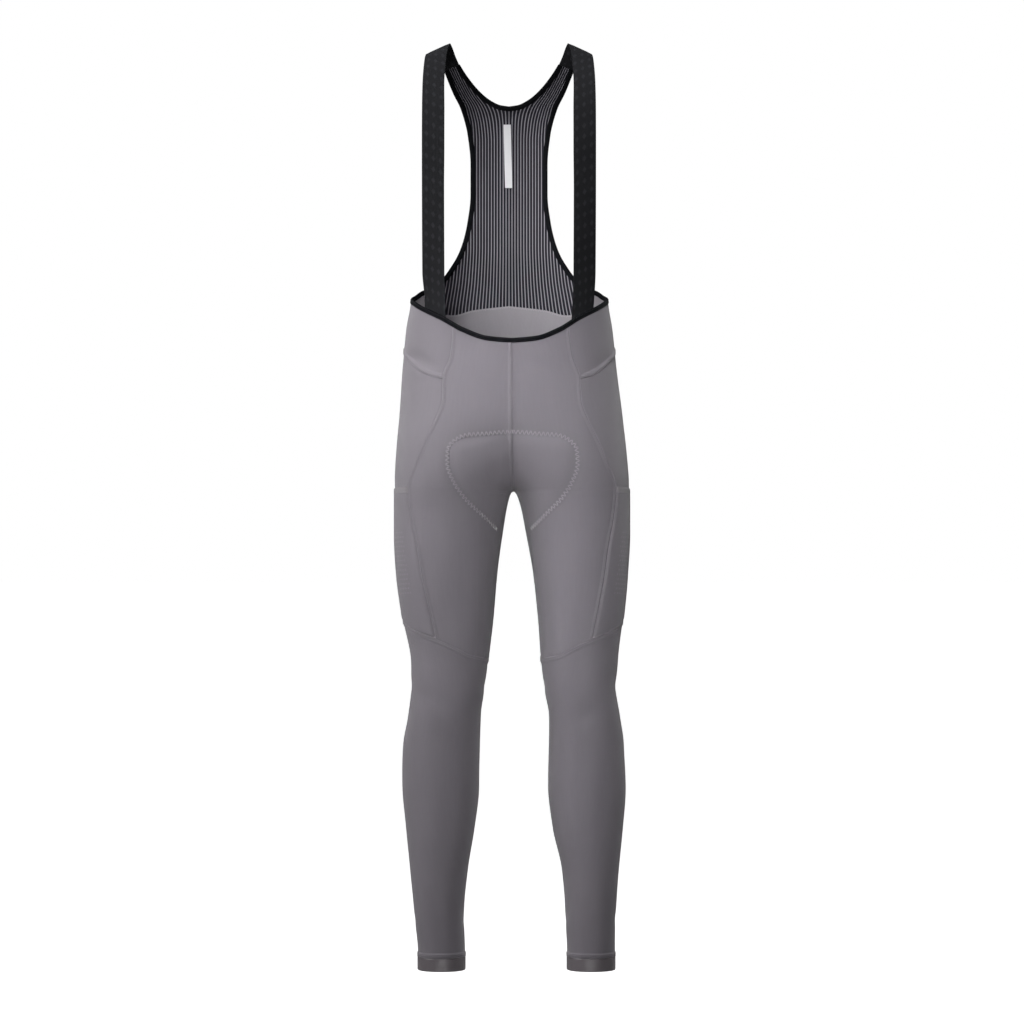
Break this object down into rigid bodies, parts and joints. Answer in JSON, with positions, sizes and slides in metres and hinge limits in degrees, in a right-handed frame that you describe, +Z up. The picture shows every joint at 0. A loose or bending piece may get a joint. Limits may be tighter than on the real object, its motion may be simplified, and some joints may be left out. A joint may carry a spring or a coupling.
{
  "type": "cycling cargo bib tights",
  "caption": "Full-length cycling bib tights, hollow as worn, with cargo pockets on the thighs, bound armholes, shoulder straps and a striped mesh back.",
  "frame": {"origin": "midway between the two straps where they cross the shoulders that hold the garment up", "axes": "+Z up along the legs, -Y the garment's front, +X the wearer's left"},
  "size_m": [0.3665, 0.244, 1.4341],
  "materials": {
    "body_cloth": "matte grey stretch knit",
    "pocket_cloth": "matte grey stretch knit with a tonal motif",
    "cuff_cloth": "smooth satin stretch",
    "binding": "matte black folded binding",
    "strap": "black elastic with a tonal weave",
    "mesh": "dark mesh with thin pale stripes",
    "label": "plain white tape",
    "thread": "grey sewing thread"
  },
  "bodies": {
    "root": {"front_panel_r": "body_cloth", "front_panel_l": "body_cloth", "yoke_r": "body_cloth", "yoke_l": "body_cloth", "side_panel_r": "body_cloth", "side_panel_l": "body_cloth", "back_panel_r": "body_cloth", "back_panel_l": "body_cloth", "pocket_r": "pocket_cloth", "pocket_l": "pocket_cloth", "pocket_band_r": "pocket_cloth", "pocket_band_l": "pocket_cloth", "lower_leg_r": "body_cloth", "lower_leg_l": "body_cloth", "cuff_r": "cuff_cloth", "cuff_l": "cuff_cloth", "edge_binding": "binding", "neck_binding": "binding", "strap_r": "strap", "strap_l": "strap", "mesh_back": "mesh", "label": "label"}
  },
  "joints": []
}
